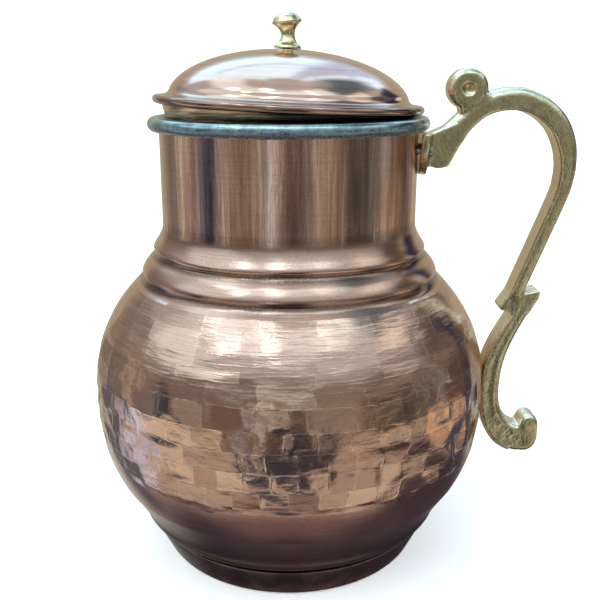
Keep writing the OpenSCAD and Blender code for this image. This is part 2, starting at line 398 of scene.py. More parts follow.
def hammer_marks(n, point, x, y, z):
    """A random tone for each hammer mark, the height of its tilted face, and the edge round it."""
    wobble = n.math("MULTIPLY", n.noise(point, 60, 4, 0.6), 3.0)
    high = n.math("ADD", n.math("MULTIPLY", z, 1 / MM), wobble)
    high = n.math("SUBTRACT", high, 1.5)
    turn = n.math("ADD", n.math("ARCTAN2", y, x), n.math("MULTIPLY", n.noise(point, 110, 3), 0.07))
    turn = n.math("SUBTRACT", turn, 0.035)
    along = 0.0
    across = 0.0
    for i, (top, bottom, middle, _, count, start, _, _) in enumerate(hammer_rows()):
        inside = n.math("MULTIPLY", n.math("LESS_THAN", high, top), n.math("GREATER_THAN", high, bottom))
        place = n.math("MULTIPLY_ADD", turn, count / (2 * math.pi), 100.0 * i + 50 - start)
        rise = n.math("MULTIPLY_ADD", high, 1 / (top - bottom), -middle / (top - bottom))
        along = n.math("MULTIPLY_ADD", inside, place, along)
        across = n.math("MULTIPLY_ADD", inside, rise, across)
    mark = n.math("ROUND", along)
    part = n.math("SUBTRACT", along, mark)
    white = n.node("ShaderNodeTexWhiteNoise", noise_dimensions="1D")
    n.put(white.inputs["W"], mark)
    lean, turned, tone = n.split(white.outputs["Color"])
    tilt_along = n.math("SUBTRACT", lean, 0.5)
    tilt_across = n.math("SUBTRACT", turned, 0.5)
    height = n.math("MULTIPLY", part, tilt_along)
    height = n.math("MULTIPLY_ADD", across, tilt_across, height)
    sides = [n.math("POWER", n.math("MULTIPLY", n.math("ABSOLUTE", share), 2.0), 5.0)
             for share in (part, across)]
    edge = n.between(n.math("ADD", *sides), 0.5, 1.1)
    broken = n.ramp(n.noise(point, 190, 3), (0.36, 0.1), (0.58, 1.0))
    return tone, height, n.math("MULTIPLY", edge, broken)


def neck_finish(n, point, z, colour, normal):
    """Painted reflection streaks running upright (bumped as well), painted glint specks and turned scratches.
    The streaks fade in over the top groove.
    """
    scratches = n.noise(n.scaled(point, (25, 25, 700)), 1, 4, 0.7)
    streak_reflections = n.noise(n.scaled(point, (330, 330, 16)), 1, 4, 0.7)
    streak_reflections = n.mix(n.between(z, 0.137, 0.143), (0.5, 0.5, 0.5), streak_reflections)
    # Painted reflections: dark and bright upright streaks round the neck.
    colour = n.mix(n.ramp(streak_reflections, (0.36, 0.75), (0.54, 0.0)), colour, (0.36, 0.215, 0.15))
    colour = n.mix(n.ramp(streak_reflections, (0.54, 0.0), (0.66, 0.8)), colour, (0.98, 0.75, 0.56))
    # Painted glints: small bright specks on the neck.
    wear_and_glints = n.noise(n.scaled(point, (1, 1, 1.5)), 2300, 3, 0.8)
    colour = n.mix(n.ramp(wear_and_glints, (0.58, 0.0), (0.70, 0.7)), colour, (1.0, 0.80, 0.60))
    return colour, n.bump(streak_reflections, 0.00006, n.bump(scratches, 0.00003, normal))


def belly_finish(n, point, ragged, colour, normal):
    """Hammer marks, each with its own tone and tilt, and a painted highlight along their edges. The upper
    ones are fainter and drawn out sideways.
    """
    x, y, z = n.split(point)
    tone, height, edge = hammer_marks(n, point, x, y, z)
    beaten = n.math("MULTIPLY", n.between(ragged, 0.0560, 0.0590), n.between(z, 0.1187, 0.117))
    strong = n.math("MULTIPLY", beaten, n.between(z, 0.103, 0.090, 0.42, 1.0))
    golden = n.mix(n.ramp(tone, (0.2, 0.0), (0.9, 1.0)), (0.40, 0.235, 0.18), (0.90, 0.61, 0.43))
    colour = n.mix(n.math("MULTIPLY", strong, 0.65), colour, golden)
    # Painted highlight: a light line along the edges of the hammer marks.
    colour = n.mix(n.math("MULTIPLY", n.math("MULTIPLY", edge, strong), 0.3), colour, (0.97, 0.73, 0.58))
    stretched = n.math("MULTIPLY", n.noise(n.scaled(point, (38, 38, 330)), 1, 3, 0.55),
                       n.between(z, 0.088, 0.100, 0.10, 0.34))
    dents = n.math("MULTIPLY", n.noise(n.scaled(point, (1, 1, 1.5)), 150, 2), 0.30)
    height = n.math("MULTIPLY", n.math("ADD", n.math("MULTIPLY_ADD", height, 0.9, dents),
                                       n.math("MULTIPLY", edge, 0.06)), strong)
    height = n.math("ADD", height, n.math("MULTIPLY", stretched, beaten))
    return colour, n.bump(height, 0.001, normal)


# Painted shade in the grooves at the ribs and at the foot of the neck: (height, half width, strength)
GROOVE_SHADE = [(129.9, 2.2, 1.0), (120.6, 2.1, 1.0), (140.5, 4.5, 0.45)]


def body_copper(n, turned):
    """Satin copper with painted shade at the foot and in the grooves, turned on the neck or beaten on the
    belly.
    """
    point = n.point()
    z = n.split(point)[2]
    lines = n.noise(n.scaled(point, (14, 14, 3200)), 1, 4, 0.65)
    clouds = n.noise(point, 38, 5, 0.6)
    grain = n.noise(n.scaled(point, (1, 1, 1.6)), 1500, 3, 0.7)
    colour = n.mix(n.ramp(clouds, (0.35, 0.0), (0.7, 1.0)), COPPER, COPPER_PINK)
    colour = n.mix(n.ramp(lines, (0.40, 0.4), (0.56, 0.0)), colour, COPPER_BROWN)
    specks = n.ramp(n.noise(point, 900, 4, 0.75), (0.58, 0.0), (0.70, 0.65))
    colour = n.mix(specks, colour, (0.36, 0.20, 0.15))
    grooves = 0.0
    for middle, width, share in GROOVE_SHADE:
        away = n.math("ABSOLUTE", n.math("SUBTRACT", n.math("MULTIPLY", z, 1 / MM), middle))
        grooves = n.math("MULTIPLY_ADD", n.between(away, width, width * 0.35), share, grooves)
    # Painted shade in the grooves.
    colour = n.mix(n.math("MULTIPLY", grooves, 0.9), colour, (0.19, 0.115, 0.09))
    ragged = n.math("ADD", z, n.math("MULTIPLY", n.noise(point, 55, 3), 0.012))
    foot = n.between(ragged, 0.046, 0.026)
    rough = n.math("ADD", n.math("MULTIPLY", clouds, 0.12), n.math("MULTIPLY", foot, 0.12))
    rough = n.math("ADD", rough, 0.09 if turned else 0.11)
    normal = n.bump(grain, 0.00004, n.bump(lines, 0.00001))
    if turned:
        colour, normal = neck_finish(n, point, z, colour, normal)
    else:
        colour, normal = belly_finish(n, point, ragged, colour, normal)
    # Painted shade: the copper darkens towards the foot.
    colour = n.mix(n.math("MULTIPLY", foot, 0.86), colour, FOOT_SHADE)
    return colour, rough, normal, 1.0


def bead_patina(n):
    """Old tinning on the rolled mouth: blue-grey on top, darker and specked below, brown underneath."""
    point = n.point()
    z = n.split(point)[2]
    mottle = n.noise(point, 160, 5, 0.65)
    colour = n.mix(n.ramp(mottle, (0.38, 0.0), (0.62, 1.0)), (0.26, 0.35, 0.38), (0.50, 0.62, 0.64))
    shadow = n.between(z, (MOUTH_Z + 0.9) * MM, (MOUTH_Z - 1.2) * MM, 0.0, 0.75)
    colour = n.mix(shadow, colour, (0.10, 0.15, 0.19))
    specks = n.noise(n.scaled(point, (1, 1, 1.6)), 900, 4, 0.75)
    low = n.between(z, (MOUTH_Z + 1.2) * MM, (MOUTH_Z - 1.8) * MM)
    dark = n.math("MULTIPLY", n.ramp(specks, (0.46, 0.0), (0.54, 1.0)), low)
    colour = n.mix(dark, colour, (0.03, 0.045, 0.05))
    under = n.between(n.math("ADD", z, n.math("MULTIPLY", mottle, 0.0012)),
                      (MOUTH_Z - 1.2) * MM, (MOUTH_Z - 2.0) * MM)
    colour = n.mix(under, colour, (0.22, 0.12, 0.08))
    rough = n.math("ADD", n.math("MULTIPLY", mottle, 0.2), 0.10)
    normal = n.bump(n.math("ADD", specks, mottle), 0.00004)
    return colour, rough, normal, n.math("SUBTRACT", 1.0, n.math("MULTIPLY", dark, 0.8))


def tinned(n):
    """The tinned inside, dull grey with brown wear."""
    point = n.point()
    mottle = n.noise(point, 60, 5, 0.6)
    colour = n.mix(n.ramp(mottle, (0.4, 0.0), (0.68, 0.8)), (0.55, 0.54, 0.52), (0.33, 0.25, 0.20))
    rough = n.math("ADD", n.math("MULTIPLY", mottle, 0.3), 0.25)
    return colour, rough, n.bump(n.noise(point, 300, 3), 0.00004), 1.0


def pan_copper(n):
    """The foot's pan, dark brown, with wear along its lower edge."""
    point = n.point()
    z = n.split(point)[2]
    lines = n.noise(n.scaled(point, (10, 10, 700)), 1, 3)
    mottle = n.noise(point, 90, 5, 0.65)
    colour = n.mix(n.ramp(mottle, (0.4, 0.0), (0.7, 1.0)), (0.13, 0.085, 0.08), (0.26, 0.165, 0.14))
    wear_and_glints = n.math("MULTIPLY", n.between(z, 0.008, 0.002), n.ramp(mottle, (0.4, 0.3), (0.6, 0.9)))
    colour = n.mix(wear_and_glints, colour, (0.46, 0.27, 0.21))
    rough = n.math("ADD", n.math("MULTIPLY", mottle, 0.25), 0.2)
    return colour, rough, n.bump(n.math("ADD", lines, mottle), 0.00005), 1.0


def lid_copper(n):
    """Spun copper with fine rings round the lid's own axis."""
    point = n.point()
    x, y, z = n.split(point)
    radius = n.math("SQRT", n.math("ADD", n.math("MULTIPLY", x, x), n.math("MULTIPLY", y, y)))
    rings_at = n.join(n.math("ADD", n.math("MULTIPLY", radius, 800), n.math("MULTIPLY", x, 7)),
                      n.math("ADD", n.math("MULTIPLY", z, 800), n.math("MULTIPLY", y, 7)), 0.0)
    rings = n.noise(rings_at, 1, 4, 0.6)
    clouds = n.noise(point, 45, 4, 0.6)
    specks = n.ramp(n.noise(point, 380, 4, 0.7), (0.62, 0.0), (0.70, 0.5))
    colour = n.mix(n.ramp(clouds, (0.35, 0.0), (0.7, 1.0)), (0.72, 0.45, 0.35), (0.78, 0.50, 0.42))
    colour = n.mix(n.ramp(rings, (0.40, 0.35), (0.55, 0.0)), colour, COPPER_BROWN)
    colour = n.mix(specks, colour, COPPER_BROWN)
    flange = n.math("MULTIPLY", n.between(z, 0.0030, 0.0016), n.ramp(clouds, (0.3, 0.95), (0.7, 0.6)))
    colour = n.mix(flange, colour, (0.33, 0.195, 0.145))
    rough = n.math("ADD", n.math("MULTIPLY", rings, 0.06), n.math("MULTIPLY", clouds, 0.08))
    rough = n.math("ADD", rough, 0.06)
    grain = n.noise(point, 1400, 3, 0.7)
    return colour, rough, n.bump(grain, 0.00001, n.bump(rings, 0.000012)), 1.0


def skirt_copper(n):
    """The lid's skirt: brown with golden streaks round it, nearly black on the handle's half."""
    point = n.point()
    x = n.split(point)[0]
    streaks = n.noise(n.scaled(point, (40, 40, 900)), 1, 4, 0.65)
    colour = n.mix(n.ramp(streaks, (0.42, 0.0), (0.62, 1.0)), (0.30, 0.165, 0.11), (0.95, 0.66, 0.40))
    shaded = n.between(x, -0.034, 0.002, 0.0, 0.94)
    colour = n.mix(shaded, colour, (0.035, 0.025, 0.02))
    rough = n.math("ADD", n.math("MULTIPLY", streaks, 0.2), 0.16)
    return colour, rough, n.bump(streaks, 0.00004), 1.0


def cast_brass(n):
    """Sand-cast brass, pitted: painted highlights on edges and tops, painted shade in hollows, and a painted
    reflection of the copper jug on the faces turned to it.
    """
    point = n.point()
    sand = n.noise(point, 950, 4, 0.7)
    lumps = n.noise(point, 130, 4, 0.65)
    clouds = n.noise(point, 48, 4, 0.6)
    hollow = n.node("ShaderNodeNewGeometry").outputs["Pointiness"]
    edge = n.ramp(hollow, (0.47, 0.0), (0.56, 1.0))
    colour = n.mix(n.ramp(clouds, (0.35, 0.0), (0.68, 1.0)), (0.88, 0.78, 0.46), (0.97, 0.88, 0.56))
    colour = n.mix(n.ramp(lumps, (0.5, 0.0), (0.72, 0.65)), colour, (0.52, 0.47, 0.26))
    # Painted shade, deepest in the hollows.
    colour = n.mix(n.math("MULTIPLY", edge, 0.7), n.mix(0.6, colour, (0.34, 0.24, 0.11)), colour)
    # Painted highlight on the sharp edges.
    colour = n.mix(n.ramp(hollow, (0.53, 0.0), (0.62, 0.8)), colour, (0.96, 0.90, 0.66))
    facing = n.split(n.node("ShaderNodeNewGeometry").outputs["Normal"])
    # Painted reflection: the copper jug mirrored in the faces turned towards it.
    inner = n.between(facing[0], -0.25, -0.7)
    colour = n.mix(n.math("MULTIPLY", inner, 0.6), colour, (0.66, 0.43, 0.27))
    # Painted highlight on the faces that look up.
    upper = n.between(facing[2], 0.1, 0.8)
    colour = n.mix(n.math("MULTIPLY", upper, 0.75), colour, (1.0, 0.97, 0.80))
    pits = n.cells(point, 330)
    pit = n.math("MULTIPLY", n.ramp(pits, (0.06, 1.0), (0.16, 0.0)),
                 n.ramp(n.noise(point, 90, 2), (0.60, 0.0), (0.66, 1.0)))
    colour = n.mix(pit, colour, (0.10, 0.07, 0.03))
    rough = n.math("ADD", n.math("MULTIPLY", lumps, 0.22), 0.10)
    height = n.math("ADD", n.math("MULTIPLY", sand, 0.5), n.math("MULTIPLY", lumps, 3.2))
    height = n.math("SUBTRACT", height, n.math("MULTIPLY", pit, 2.5))
    return colour, rough, n.bump(height, 0.0002), 1.0


def turned_brass(n):
    """The knob: bright, pale turned brass."""
    point = n.point()
    rings = n.noise(n.scaled(point, (30, 30, 1500)), 1, 3)
    tarnish = n.noise(point, 260, 4, 0.65)
    colour = n.mix(n.ramp(tarnish, (0.45, 0.0), (0.72, 0.8)), (0.88, 0.75, 0.45), (0.55, 0.42, 0.20))
    rough = n.math("ADD", n.math("MULTIPLY", tarnish, 0.22), 0.12)
    return colour, rough, n.bump(n.math("ADD", rings, tarnish), 0.00003), 1.0


def plain_copper(n):
    """Rivets, washers and wires."""
    point = n.point()
    mottle = n.noise(point, 420, 4, 0.65)
    colour = n.mix(n.ramp(mottle, (0.4, 0.0), (0.65, 1.0)), (0.42, 0.26, 0.18), (0.74, 0.47, 0.36))
    rough = n.math("ADD", n.math("MULTIPLY", mottle, 0.25), 0.18)
    return colour, rough, n.bump(mottle, 0.00006), 1.0


def bright_rivet(n):
    """Neck rivets, tinned and rubbed bright by wear."""
    point = n.point()
    mottle = n.noise(point, 500, 4, 0.65)
    colour = n.mix(n.ramp(mottle, (0.4, 0.0), (0.65, 1.0)), (0.35, 0.38, 0.36), (0.72, 0.76, 0.74))
    rough = n.math("ADD", n.math("MULTIPLY", mottle, 0.25), 0.15)
    return colour, rough, n.bump(mottle, 0.00008), 1.0


def soft_solder(n):
    """Wiped solder, grey and lumpy."""
    point = n.point()
    lumps = n.noise(point, 320, 4, 0.6)
    colour = n.mix(n.ramp(lumps, (0.4, 0.0), (0.7, 1.0)), (0.36, 0.36, 0.35), (0.62, 0.62, 0.60))
    rough = n.math("ADD", n.math("MULTIPLY", lumps, 0.3), 0.25)
    return colour, rough, n.bump(lumps, 0.0001), 1.0


copper_neck = metal("copper_neck", lambda n: body_copper(n, True), anisotropic=0.7)
copper_belly = metal("copper_belly", lambda n: body_copper(n, False))
patina = metal("bead_patina", bead_patina)
tin = metal("tinned_inside", tinned)
copper_pan = metal("copper_pan", pan_copper)
copper_lid = metal("copper_lid", lid_copper)
copper_skirt = metal("copper_skirt", skirt_copper)
brass_cast = metal("brass_cast", cast_brass)
brass_turned = metal("brass_turned", turned_brass)
copper_trim = metal("copper_trim", plain_copper)
tinned_rivet = metal("tinned_rivet", bright_rivet)
solder = metal("solder", soft_solder)


# --- The jug's body and foot ------------------------------------------------------------------

BELLY_SLOT, BEAD_SLOT, TIN_SLOT, NECK_SLOT = range(4)
NECK_LOW = 120


def make_body():
    curl_inside = arc((BEAD_CENTRE_R, MOUTH_Z), BEAD_R - SHEET, CURL_END, 172, 12)
    face = body_outline()
    coarse = face[[*range(0, 16, 5), *range(16, len(face), 6), len(face) - 1]]
    inside = inner_face(coarse, SHEET)
    curl = arc((BEAD_CENTRE_R, MOUTH_Z), BEAD_R, 180, CURL_END, 26)
    outline = np.vstack([curl_inside, face, inside, curl])
    start = len(curl_inside)
    face_slots = [NECK_SLOT if z > NECK_LOW else BELLY_SLOT for z in face[:-1, 1]]
    slots = [BEAD_SLOT] * start + face_slots + [TIN_SLOT] * len(inside) + [BEAD_SLOT] * (len(curl) + 1)
    mesh = turned_mesh("Body", outline, 400, body_shape((start, start + len(face) - 3)), slots=slots)
    body = add_object("Body", mesh, "jug", [copper_belly, patina, tin, copper_neck])
    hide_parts("body_shell")


def make_pan():
    corner_r = 3.9
    wall = smooth([[61.3, 13.6], [60.9, 12.4], [60, 10.3], [58.2, 6.5]], 3)
    corner = arc((52.6, corner_r), corner_r, -14, -90, 8)
    face = np.vstack([wall, corner, [[50, 0], [25, 0.25], [0, 0.25]]])
    outline = np.vstack([face, inner_face(face, SHEET)])

    def shape(r, z, angle):
        outer = r - 0.12 * (1 + waves(angle, z, 6, 12, 30, 21)) * (z > 1) * (r > 40)
        return outer, z

    mesh = turned_mesh("BasePan", outline, 192, shape)
    pan = add_object("BasePan", mesh, "jug", [copper_pan])
    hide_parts("base_pan")


# --- The lid ----------------------------------------------------------------------------------

def place_on_lid(piece):
    """Puts a piece made in the lid's own frame on the tilted lid."""
    piece.parent = None
    piece.matrix_world = LID_FRAME
    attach(piece, "lid")


def make_lid_dome():
    dome_r = 48.5
    roll_r = 1.6
    roll_at = 52.4
    a = np.radians(np.linspace(90, 13, 46))
    dome = np.column_stack([dome_r * np.cos(a), DOME_H * np.sin(a)])
    flare = smooth([[47.45, 4], [48.3, 2.75], [49.7, 1.95],
                    [roll_at - 1, roll_r + 0.02], [roll_at, roll_r]], 4)
    face = np.vstack([dome, flare])
    roll = arc((roll_at, 0), roll_r, 80, -170, 20)
    roll_inside = arc((roll_at, 0), roll_r - LID_SHEET, -170, 80, 12)
    outline = np.vstack([face, roll, roll_inside, inner_face(face[::2], LID_SHEET)])

    def shape(r, z, angle):
        sink = 0.07 * (1 + waves(angle, r, 7, 7, 40, 31)) * (r > 6) * (z > 1.7)
        return r, z - sink

    mesh = turned_mesh("LidDome", outline, 256, shape)
    lid = add_object("LidDome", mesh, "lid", [copper_lid])
    place_on_lid(lid)
    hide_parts("lid_dome")


def make_knob():
    """Turned stem on a flared base, with a cap that leans away from the handle."""
    lean = math.radians(-8)
    cap_z = 5.4
    off_centre = -1.4
    stem = smooth([[5.4, 0.15], [5.35, 0.6], [4.9, 1.3], [3.9, 2.2], [2.95, 3.8], [2.6, 5]], 4)
    cap = np.vstack([smooth([[2.75, 0.3], [3.1, 1.5], [4.3, 3.2], [5.7, 4.2]], 4),
                     smooth([[5.9, 4.7], [5.5, 5.4], [4.6, 6.7], [3.2, 7.65], [1.6, 8.2], [0, 8.35]], 4)])
    foot = [[0, -2.5], [2.5, -2.5], [2.5, -1.85], [1.5, -1.8], [1.5, 0.15], [5.2, 0.15]]
    outline = np.vstack([foot, stem, cap + [0, cap_z]])[::-1]
    mesh = turned_mesh("Knob", outline, 72)
    knob = add_object("Knob", mesh, "lid", [brass_turned])
    neck = Vector((0, 0, cap_z * MM))
    for v in mesh.vertices:
        rise = (v.co - neck).z / MM
        if rise > -0.4:
            share = min(1, (rise + 0.4) / 0.7)
            v.co = neck + Matrix.Rotation(lean * share, 3, "Y") @ (v.co - neck)
    knob.parent = None
    knob.matrix_world = LID_FRAME @ Matrix.Translation((off_centre * MM, 0, DOME_H * MM))
    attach(knob, "lid")
    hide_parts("knob")


# --- The handle -------------------------------------------------------------------------------

HALF_WIDTH = 6


def section(half, outer_round, inner_round, channel):
    """Closed section of the bar as (towards the outside of the curve, across).

    Its corners are rounded by the two radii, and the middle of each side is sunk by channel.
    """
    points = []
    corners = [(1, 1, 90, outer_round), (1, -1, 0, outer_round),
               (-1, -1, -90, inner_round), (-1, 1, 180, inner_round)]
    for s, w, start, rounding in corners:
        rs = min(rounding, 0.85 * half)
        for k in range(6):
            a = math.radians(start - 18 * k)
            points.append([s * (half - rs) + rs * math.cos(a),
                           w * (HALF_WIDTH - rounding) + rounding * math.sin(a)])
        if s != w:
            points.append([0, w * (HALF_WIDTH - channel)])
    return np.array(points)


def bar(mesh, stations, outer_round, inner_round, channel):
    """Adds a closed bar through stations of [x, z, half thickness]."""
    sides = side_of(stations)
    rings = []
    for (x, z, half), (sx, sz) in zip(stations, sides):
        outline = section(half, outer_round, inner_round, channel)
        rings.append([mesh.verts.new((x + sx * s, w, z + sz * s)) for s, w in outline])
    for a, b in zip(rings, rings[1:]):
        for k in range(len(a)):
            n = (k + 1) % len(a)
            mesh.faces.new((a[k], a[n], b[n], b[k]))
    mesh.faces.new(rings[0][::-1])
    mesh.faces.new(rings[-1])


def plate(mesh, outline, half):
    """Adds a plate of that half width with a side view [x, z]."""
    front = [mesh.verts.new((x, -half, z)) for x, z in outline]
    back = [mesh.verts.new((x, half, z)) for x, z in outline]
    count = len(outline)
    for k in range(count):
        n = (k + 1) % count
        mesh.faces.new((front[k], front[n], back[n], back[k]))
    mesh.faces.new(front[::-1])
    mesh.faces.new(back)


def drum(mesh, centre, radius, half, chamfer):
    """Adds a round drum whose axis runs across the handle."""
    steps = 40
    profile = [(radius - chamfer, -half), (radius, -half + chamfer),
               (radius, half - chamfer), (radius - chamfer, half)]
    rings = []
    for r, y in profile:
        rings.append([mesh.verts.new((centre[0] + r * math.cos(a), y, centre[1] + r * math.sin(a)))
                      for a in (2 * math.pi * k / steps for k in range(steps))])
    for a, b in zip(rings, rings[1:]):
        for k in range(steps):
            n = (k + 1) % steps
            mesh.faces.new((a[k], a[n], b[n], b[k]))
    mesh.faces.new(rings[0][::-1])
    mesh.faces.new(rings[-1])


PAD_LEAN = math.radians(6)
PAD_INNER_R = NECK_R + 0.4
PAD_THICK = 3.3
PAD_HALF = 15
PAD_LOW = 160.2
PAD_TOP = 177.4
PAD_PIVOT_Z = 161.5


def lean_out(x, y, z):
    """The point turned about the pad's pivot, so that the pad's top leans away from the neck."""
    dx, dz = x - PAD_INNER_R, z - PAD_PIVOT_Z
    return (PAD_INNER_R + dx * math.cos(PAD_LEAN) + dz * math.sin(PAD_LEAN), y,
            PAD_PIVOT_Z + dz * math.cos(PAD_LEAN) - dx * math.sin(PAD_LEAN))


def pad(mesh):
    """Adds the tongue-shaped plate against the neck, which leans out to clear the rolled mouth."""
    steps = 24
    levels = 8
    layers = []
    for r in (PAD_INNER_R, PAD_INNER_R + PAD_THICK):
        grid = []
        for i in range(steps + 1):
            y = PAD_HALF * math.sin(math.pi / 2 * (2 * i / steps - 1))
            low = PAD_LOW + PAD_HALF - math.sqrt(max(PAD_HALF**2 - y**2, 0))
            column = []
            for j in range(levels + 1):
                z = low + (PAD_TOP - low) * j / levels
                column.append(mesh.verts.new(lean_out(math.sqrt(r**2 - y**2), y, z)))
            grid.append(column)
        layers.append(grid)
    inner, outer = layers
    for i in range(steps):
        for j in range(levels):
            mesh.faces.new((outer[i][j], outer[i + 1][j], outer[i + 1][j + 1], outer[i][j + 1]))
            mesh.faces.new((inner[i][j + 1], inner[i + 1][j + 1], inner[i + 1][j], inner[i][j]))
        mesh.faces.new((inner[i][0], inner[i + 1][0], outer[i + 1][0], outer[i][0]))
        mesh.faces.new((outer[i][levels], outer[i + 1][levels], inner[i + 1][levels], inner[i][levels]))
    for j in range(levels):
        mesh.faces.new((inner[0][j], outer[0][j], outer[0][j + 1], inner[0][j + 1]))
        mesh.faces.new((outer[steps][j], inner[steps][j], inner[steps][j + 1], outer[steps][j + 1]))


UPPER_BAR = [[60.5, 171.5, 5.4], [65, 175.6, 5], [69.6, 181, 4.1], [76.5, 187, 4.1], [84.5, 190, 4.4],
             [93, 190.1, 4.6], [101, 186.8, 4.5], [107.6, 180.9, 4.4], [111.6, 173, 4.1], [113, 165, 3.6],
             [112.6, 158, 3.3], [110.6, 150, 3.1], [99.7, 120.5, 3], [95.9, 110, 3.1]]
LOWER_BAR = [[99.6, 106, 3.6], [96.7, 99.3, 3.3], [93.8, 93.6, 3.5], [91, 87.5, 3.8], [88.8, 81, 4.1],
             [87.5, 74, 4.3], [87.2, 64, 4.35], [88.8, 55, 4.9], [93.6, 47.4, 5.8], [99.6, 44, 6.2]]
TAIL_LINK = [[97, 40], [103, 40], [109.5, 43.6], [109.5, 51.2], [103, 54], [101, 50]]
ROOT_BLOCK = [[55.6, 164.2], [60, 162.9], [64.2, 163.8], [66.6, 168.5], [69.5, 174], [66, 180.8],
              [61, 178.9], [57.6, 177.4], [56.2, 173]]
BOSS_WEB = [[68.3, 185], [68, 189], [79, 192.5], [82, 189]]
LEAF = [[95, 113.5], [98.6, 110.6], [104.6, 112.2], [105.8, 111.2], [105.4, 108.8], [101.4, 101.5], [95, 103]]
BARB = [[93.6, 112], [88.9, 104.9], [89.4, 103.2], [93.6, 102.9], [97, 100.5], [99, 108]]
BOSS = (70.9, 194.2)
TAIL_TIP = (105.6, 51.2)
TAIL_BEND = (103.8, 43.5)
TAIL_FILL = (100.6, 43.8)
TAIL_DENTS = [(93.6, 49.6), (96.2, 47.0), (99.0, 44.6), (101.9, 42.4)]
BELLY_RIVET_Z = 68
RIVET_SEAT_X = 91.05


def handle_mesh():
    """All the casting's forms in one bmesh, in millimetres, ready to be fused."""
    mesh = bmesh.new()
    bar(mesh, smooth(UPPER_BAR, 6), 4.0, 0.9, 0.0)
    bar(mesh, smooth(LOWER_BAR, 6), 3.0, 0.9, 0.3)
    plate(mesh, TAIL_LINK, HALF_WIDTH - 0.4)
    plate(mesh, ROOT_BLOCK, HALF_WIDTH)
    plate(mesh, BOSS_WEB, HALF_WIDTH - 0.3)
    plate(mesh, LEAF, HALF_WIDTH - 0.3)
    plate(mesh, BARB, HALF_WIDTH - 0.5)
    drum(mesh, BOSS, 8, HALF_WIDTH, 1.8)
    drum(mesh, TAIL_TIP, 3.9, HALF_WIDTH - 0.2, 1.2)
    drum(mesh, TAIL_BEND, 5.7, HALF_WIDTH - 0.2, 1.5)
    drum(mesh, TAIL_FILL, 5.8, HALF_WIDTH - 0.2, 1.5)
    pad(mesh)
    bmesh.ops.recalc_face_normals(mesh, faces=mesh.faces)
    return mesh


def fused(mesh, voxel):
    """The forms as one skin: voxel remeshed, in metres."""
    raw = bpy.data.meshes.new("HandleForms")
    mesh.to_mesh(raw)
    mesh.free()
    raw.transform(Matrix.Scale(MM, 4))
    piece = bpy.data.objects.new("HandleForms", raw)
    bpy.context.scene.collection.objects.link(piece)
    remesh = piece.modifiers.new("fuse", "REMESH")
    remesh.mode = "VOXEL"
    remesh.voxel_size = voxel * MM
    ready = piece.evaluated_get(bpy.context.evaluated_depsgraph_get())
    skin = bpy.data.meshes.new_from_object(ready)
    bpy.data.objects.remove(piece)
    return skin


def relax(points, edges, rounds):
    """Moves each point towards the mean of its neighbours, which rounds the edges."""
    for _ in range(rounds):
        total = np.zeros_like(points)
        count = np.zeros(len(points))
        for a, b in ((0, 1), (1, 0)):
            np.add.at(total, edges[:, a], points[edges[:, b]])
            np.add.at(count, edges[:, a], 1)
        points = points + 0.55 * (total / count[:, None] - points)
    return points


def shape_casting(p):
    """Fine forms, in millimetres: dimples in the boss, dents in the tail, the rivet's seat."""
    x, y, z = p[:, 0], p[:, 1], p[:, 2]
    from_boss = np.hypot(x - BOSS[0], z - BOSS[1])
    dimple = np.clip(1 - (from_boss / 2.6) ** 2, 0, 1) ** 0.6 * 1.5
    on_face = np.abs(y) > 4.6
    y = np.where(on_face, y - np.sign(y) * dimple, y)
    for dent_x, dent_z in TAIL_DENTS:
        hollow = 0.6 * np.exp(-(np.hypot(x - dent_x, z - dent_z) ** 2))
        y = np.where(on_face, y - np.sign(y) * hollow, y)
    seat = (np.hypot(y, z - BELLY_RIVET_Z) < 2.1) & (x > 90)
    x = np.where(seat, np.minimum(x, RIVET_SEAT_X), x)
    return np.column_stack([x, y, z])


def make_handle():
    skin = fused(handle_mesh(), 0.45)
    points = np.empty(len(skin.vertices) * 3)
    skin.vertices.foreach_get("co", points)
    points = points.reshape(-1, 3) / MM
    edges = np.empty(len(skin.edges) * 2, int)
    skin.edges.foreach_get("vertices", edges)
    edges = edges.reshape(-1, 2)
    points = relax(points, edges, 7)
    points = shape_casting(points)
    points = relax(points, edges, 1)
    skin.vertices.foreach_set("co", (points * MM).ravel())
    shade(skin)
    skin.name = "Handle"
    handle = add_object("Handle", skin, "jug", [brass_cast])
    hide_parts("handle")


# --- CAD pieces that keep their own shape ------------------------------------------------------

KEPT = {
    "rim_wire": copper_trim,
    "seam_solder": solder,
    "neck_rivets": tinned_rivet,
    "neck_burrs": copper_trim,
    "belly_rivet": copper_trim,
    "belly_burr": copper_trim,
    "lid_skirt": copper_skirt,
    "lid_edge_wire": copper_trim,
    "knob_washer": copper_trim,
}


def dress_cad_pieces():
    for node, material in KEPT.items():
        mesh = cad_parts[node].data
        mesh.materials.clear()
        mesh.materials.append(material)


# --- Studio -----------------------------------------------------------------------------------

# What the metal mirrors at each height: (degrees above the horizon, colour)
SURROUNDINGS = [(-90, (0.035, 0.03, 0.035)), (-83, (0.045, 0.04, 0.05)), (-77, (0.19, 0.16, 0.175)),
                (-60, (0.17, 0.145, 0.145)), (-52, (0.60, 0.59, 0.54)), (-28, (0.76, 0.76, 0.67)),
                (-20, (0.45, 0.43, 0.37)),
                (-13, (0.27, 0.25, 0.22)), (6, (0.27, 0.25, 0.22)), (18, (0.31, 0.34, 0.35)),
                (28, (0.60, 0.74, 0.80)), (45, (0.62, 0.77, 0.84)), (51, (1.25, 1.7, 1.85)),
                (66, (1.2, 1.6, 1.75)), (70, (0.66, 0.78, 0.80)), (90, (0.60, 0.70, 0.72))]
